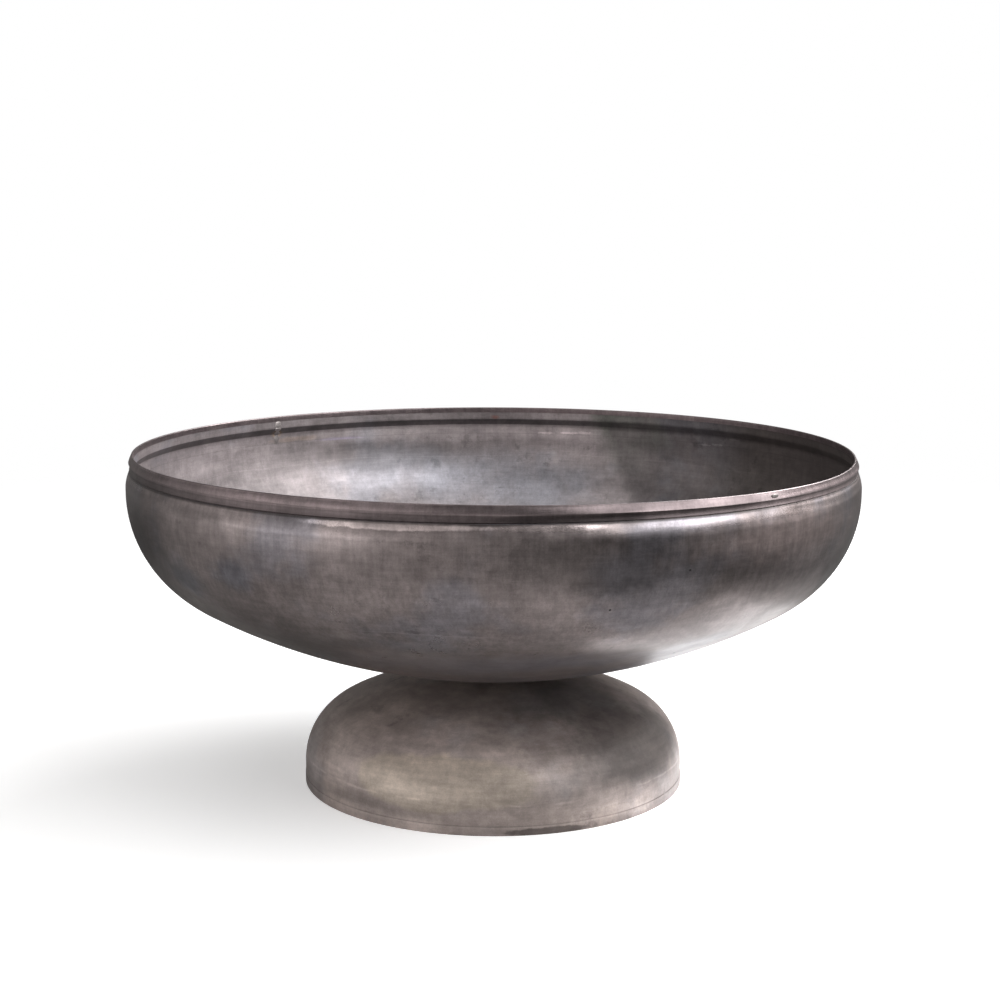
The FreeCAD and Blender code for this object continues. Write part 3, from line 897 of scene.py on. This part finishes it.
def floor():
    """A pale floor that fades out far from the pit, and that the steel sees darker behind and far right."""
    bm = bmesh.new()
    bmesh.ops.create_grid(bm, x_segments=8, y_segments=8, size=FLOOR_SIZE / 2)
    piece = shaped("studio_floor", bm)
    n = Nodes("pale_floor")
    distance = n.add("ShaderNodeVectorMath", operation="LENGTH")
    n.feed(distance.inputs[0], n.place)
    speckle = n.noise(160, detail=3)
    path = n.add("ShaderNodeLightPath").outputs["Is Camera Ray"]
    pale = n.mix(speckle, (0.90, 0.90, 0.90, 1), (0.94, 0.94, 0.94, 1))
    behind = n.range(n.along("Y"), -0.05, 0.40)
    far_right = n.range(n.along("X"), 0.44, 0.70)
    seen_in_steel = n.mix(n.maths("MAXIMUM", behind, far_right), FLOOR_LIT, FLOOR_DIM)
    n.feed(n.shader.inputs["Base Color"], n.mix(path, seen_in_steel, pale))
    n.shader.inputs["Emission Color"].default_value = (1, 1, 1, 1)
    n.feed(n.shader.inputs["Emission Strength"], n.maths("MULTIPLY", path, FLOOR_GLOW))
    n.shader.inputs["Roughness"].default_value = 0.7
    n.shader.inputs["Specular IOR Level"].default_value = 0.1
    clear = n.add("ShaderNodeBsdfTransparent")
    blend = n.add("ShaderNodeMixShader")
    n.feed(blend.inputs[0], n.range(distance.outputs["Value"], FLOOR_FADE_START, FLOOR_FADE_END))
    n.feed(blend.inputs[1], n.shader.outputs[0])
    n.feed(blend.inputs[2], clear.outputs[0])
    n.feed(n.tree.nodes["Material Output"].inputs["Surface"], blend.outputs[0])
    piece.data.materials.append(n.material)


def bounce_card():
    """A white card on the floor, unseen by the camera, that lights the bowl's right side."""
    bm = bmesh.new()
    bmesh.ops.create_grid(bm, x_segments=4, y_segments=4, size=0.5)
    piece = shaped("bounce_card", bm)
    piece.data.transform(Matrix.Translation(CARD_PLACE) @ Matrix.Diagonal((*CARD_SIZE, 1, 1)))
    n = Nodes("card_white")
    n.shader.inputs["Base Color"].default_value = (0.9, 0.9, 0.9, 1)
    n.shader.inputs["Emission Color"].default_value = (1, 1, 1, 1)
    n.shader.inputs["Emission Strength"].default_value = CARD_GLOW
    piece.data.materials.append(n.material)
    piece.visible_camera = False
    piece.visible_shadow = False


def direction(azimuth, elevation):
    """A unit vector. Azimuth is in degrees from the camera's side (-Y) round towards +X."""
    a, e = math.radians(azimuth), math.radians(elevation)
    return Vector((math.sin(a) * math.cos(e), -math.cos(a) * math.cos(e), math.sin(e)))


def backdrop():
    """White behind everything for the camera, and for the light a dim room with soft bright sides."""
    world = bpy.data.worlds.new("studio")
    scene.world = world
    world.use_nodes = True
    tree = world.node_tree
    tree.nodes.clear()
    look = tree.nodes.new("ShaderNodeTexCoord").outputs["Generated"]
    level = None
    for azimuth, elevation, spread, brightness in ROOM_GLOWS:
        toward = tree.nodes.new("ShaderNodeVectorMath")
        toward.operation = "DOT_PRODUCT"
        tree.links.new(look, toward.inputs[0])
        toward.inputs[1].default_value = direction(azimuth, elevation)
        glow = tree.nodes.new("ShaderNodeMapRange")
        glow.interpolation_type = "SMOOTHSTEP"
        tree.links.new(toward.outputs["Value"], glow.inputs["Value"])
        glow.inputs["From Min"].default_value = math.cos(math.radians(spread))
        glow.inputs["From Max"].default_value = 1.0
        glow.inputs["To Min"].default_value = 0.0 if level else ROOM_LEVEL
        glow.inputs["To Max"].default_value = brightness
        if level:
            total = tree.nodes.new("ShaderNodeMath")
            tree.links.new(level, total.inputs[0])
            tree.links.new(glow.outputs["Result"], total.inputs[1])
            level = total.outputs[0]
        else:
            level = glow.outputs["Result"]
    room = tree.nodes.new("ShaderNodeBackground")
    room.inputs["Color"].default_value = ROOM_COLOUR
    tree.links.new(level, room.inputs["Strength"])
    white = tree.nodes.new("ShaderNodeBackground")
    white.inputs["Color"].default_value = (1, 1, 1, 1)
    path = tree.nodes.new("ShaderNodeLightPath")
    choose = tree.nodes.new("ShaderNodeMixShader")
    output = tree.nodes.new("ShaderNodeOutputWorld")
    tree.links.new(path.outputs["Is Camera Ray"], choose.inputs[0])
    tree.links.new(room.outputs[0], choose.inputs[1])
    tree.links.new(white.outputs[0], choose.inputs[2])
    tree.links.new(choose.outputs[0], output.inputs["Surface"])


def softbox(name, azimuth, elevation, distance, width, height, watts):
    """A rectangular light that faces the pit."""
    light = bpy.data.lights.new(name, "AREA")
    light.shape = "RECTANGLE"
    light.size = width
    light.size_y = height
    light.energy = watts
    lamp = bpy.data.objects.new(name, light)
    middle = (CAD_BOX[0] + CAD_BOX[1]) / 2
    lamp.location = middle + direction(azimuth, elevation) * distance
    lamp.rotation_euler = (middle - lamp.location).to_track_quat("-Z", "Y").to_euler()
    scene.collection.objects.link(lamp)


def camera():
    """The photo's view: from the front, a little above the rim."""
    data = bpy.data.cameras.new("camera")
    data.lens = CAMERA_LENS
    data.sensor_width = CAMERA_SENSOR
    view = bpy.data.objects.new("camera", data)
    aim = Matrix.Rotation(math.pi / 2 - CAMERA_PITCH, 4, "X") @ Matrix.Rotation(CAMERA_ROLL, 4, "Z")
    view.matrix_world = Matrix.Translation(CAMERA_PLACE) @ aim
    scene.collection.objects.link(view)
    scene.camera = view


floor()
bounce_card()
backdrop()
softbox("key", azimuth=62, elevation=36, distance=2.3, width=2.7, height=1.8, watts=64)
softbox("kicker", azimuth=134, elevation=42, distance=2.4, width=1.8, height=1.3, watts=60)
softbox("fill", azimuth=-58, elevation=0.5, distance=2.4, width=2.2, height=0.36, watts=4)
softbox("overhead", azimuth=-10, elevation=84, distance=2.2, width=2.8, height=2.2, watts=20)
camera()
scene.view_settings.view_transform = "Standard"
